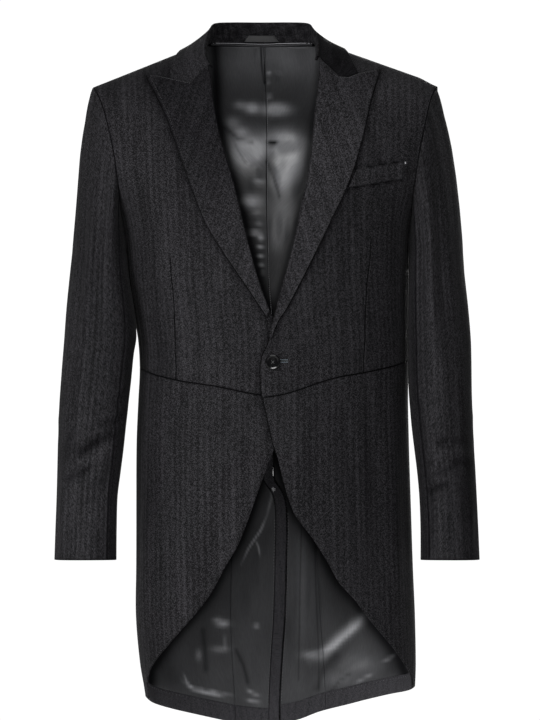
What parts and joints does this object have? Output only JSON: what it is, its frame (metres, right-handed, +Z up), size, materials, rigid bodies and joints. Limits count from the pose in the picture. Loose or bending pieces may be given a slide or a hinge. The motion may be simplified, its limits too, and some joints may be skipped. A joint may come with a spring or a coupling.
{
  "type": "morning coat",
  "caption": "Tailored morning coat with peaked lapels, a buttoned front, a welt chest pocket, a cutaway skirt and a centre vent, filled out as if worn.",
  "frame": {"origin": "between the shoulders, at the height of the shoulder seams beside the neck, where the wearer holds the coat up", "axes": "+X towards the wearer's left, -Y out of the front, +Z up"},
  "size_m": [0.5772, 0.2638, 0.9633],
  "materials": {
    "wool": "black wool with a fine herringbone",
    "lining": "dark grey satin",
    "tape": "woven tape",
    "button": "polished",
    "thread": "twisted thread"
  },
  "bodies": {
    "root": {"forepart_left": "wool", "forepart_right": "wool", "sidebody_left": "wool", "sidebody_right": "wool", "back_left": "wool", "back_right": "wool", "skirt_left": "wool", "skirt_right": "wool", "top_sleeve_left": "wool", "top_sleeve_right": "wool", "under_sleeve_left": "wool", "under_sleeve_right": "wool", "lapel_left": "wool", "lapel_right": "wool", "collar": "wool", "welt_pocket": "wool", "hem_facing_left": "wool", "hem_facing_right": "wool", "skirt_facing_left": "wool", "skirt_facing_right": "wool", "vent_facing": "wool", "lining_back_left": "lining", "lining_back_right": "lining", "lining_skirt_left": "lining", "lining_skirt_right": "lining", "hanger_loop": "tape", "button": "button", "button_thread": "thread"}
  },
  "joints": []
}
